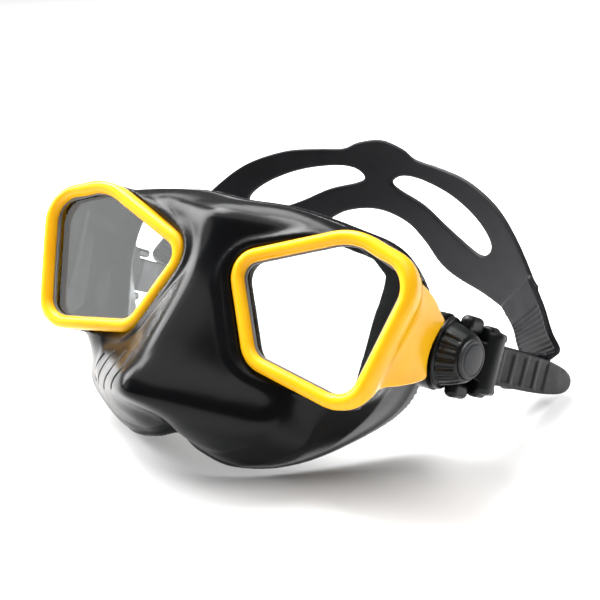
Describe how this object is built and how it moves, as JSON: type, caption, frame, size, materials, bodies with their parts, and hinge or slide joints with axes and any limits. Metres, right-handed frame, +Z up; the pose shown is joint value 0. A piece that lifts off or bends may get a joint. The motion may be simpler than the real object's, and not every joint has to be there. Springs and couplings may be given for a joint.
{
  "type": "diving mask",
  "caption": "Low-volume diving mask: glossy black silicone skirt with a nose pocket, separate lenses in yellow frames, swivelling buckles and a split head strap.",
  "frame": {"origin": "middle of the object's box, on the floor", "axes": "+X to the wearer's left, -Y the way the lenses look, +Z up"},
  "size_m": [0.2072, 0.1724, 0.0869],
  "materials": {
    "frame_plastic": "glossy moulded polycarbonate, warm yellow",
    "skirt_silicone": "polished liquid silicone, black",
    "strap_silicone": "satin silicone, black",
    "lens_glass": "clear tempered glass",
    "gasket_silicone": "grey silicone gasket",
    "inner_frame_plastic": "black inner ring",
    "black_plastic": "satin black nylon",
    "cap_plastic": "satin dark grey",
    "washer_nylon": "natural nylon",
    "roller_nylon": "black acetal",
    "tab_rubber": "satin black elastomer",
    "steel": "stainless"
  },
  "bodies": {
    "mask": {"skirt": "skirt_silicone", "frame_left": "frame_plastic", "lens_left": "lens_glass", "lens_seal_left": "gasket_silicone", "lens_retainer_left": "inner_frame_plastic", "hub_base_left": "black_plastic", "pivot_pin_left": "steel", "friction_washer_left": "washer_nylon", "pivot_clip_left": "steel", "frame_right": "frame_plastic", "lens_right": "lens_glass", "lens_seal_right": "gasket_silicone", "lens_retainer_right": "inner_frame_plastic", "hub_base_right": "black_plastic", "pivot_pin_right": "steel", "friction_washer_right": "washer_nylon", "pivot_clip_right": "steel"},
    "strap": {"head_strap": "strap_silicone"},
    "left_buckle": {"buckle_body_left": "black_plastic", "hub_cap_left": "cap_plastic", "roller_axle_left": "steel"},
    "left_roller": {"strap_roller_left": "roller_nylon"},
    "left_upper_tab": {"upper_release_tab_left": "tab_rubber"},
    "left_lower_tab": {"lower_release_tab_left": "tab_rubber"},
    "right_buckle": {"buckle_body_right": "black_plastic", "hub_cap_right": "cap_plastic", "roller_axle_right": "steel"},
    "right_roller": {"strap_roller_right": "roller_nylon"},
    "right_upper_tab": {"upper_release_tab_right": "tab_rubber"},
    "right_lower_tab": {"lower_release_tab_right": "tab_rubber"}
  },
  "joints": [
    {"name": "strap_swing", "type": "hinge", "parent": "mask", "child": "strap", "pos_m": [0, -0.00981, 0.03929], "axis": [1, 0, 0], "range_deg": [-30, 50]},
    {"name": "left_buckle_swivel", "type": "hinge", "parent": "mask", "child": "left_buckle", "pos_m": [0.076, -0.00981, 0.03929], "axis": [1, 0, 0], "range_deg": [-30, 50]},
    {"name": "left_roller_spin", "type": "hinge", "parent": "left_buckle", "child": "left_roller", "pos_m": [0.08322, 0.01053, 0.02875], "axis": [0, 0.4602, 0.8878], "continuous": true},
    {"name": "left_upper_tab_press", "type": "slide", "parent": "left_buckle", "child": "left_upper_tab", "axis": [0, -0.4602, -0.8878], "range_m": [0, 0.0015], "stiffness_N_per_m": 600, "springref_m": -0.002},
    {"name": "left_lower_tab_press", "type": "slide", "parent": "left_buckle", "child": "left_lower_tab", "axis": [0, 0.4602, 0.8878], "range_m": [0, 0.0015], "stiffness_N_per_m": 600, "springref_m": -0.002},
    {"name": "right_buckle_swivel", "type": "hinge", "parent": "mask", "child": "right_buckle", "pos_m": [-0.076, -0.00981, 0.03929], "axis": [1, 0, 0], "range_deg": [-30, 50]},
    {"name": "right_roller_spin", "type": "hinge", "parent": "right_buckle", "child": "right_roller", "pos_m": [-0.08322, 0.01053, 0.02875], "axis": [0, 0.4602, 0.8878], "continuous": true},
    {"name": "right_upper_tab_press", "type": "slide", "parent": "right_buckle", "child": "right_upper_tab", "axis": [0, -0.4602, -0.8878], "range_m": [0, 0.0015], "stiffness_N_per_m": 600, "springref_m": -0.002},
    {"name": "right_lower_tab_press", "type": "slide", "parent": "right_buckle", "child": "right_lower_tab", "axis": [0, 0.4602, 0.8878], "range_m": [0, 0.0015], "stiffness_N_per_m": 600, "springref_m": -0.002}
  ],
  "couplings": [
    {"joint": "left_buckle_swivel", "follows": "strap_swing", "ratio": 1},
    {"joint": "right_buckle_swivel", "follows": "strap_swing", "ratio": 1}
  ]
}
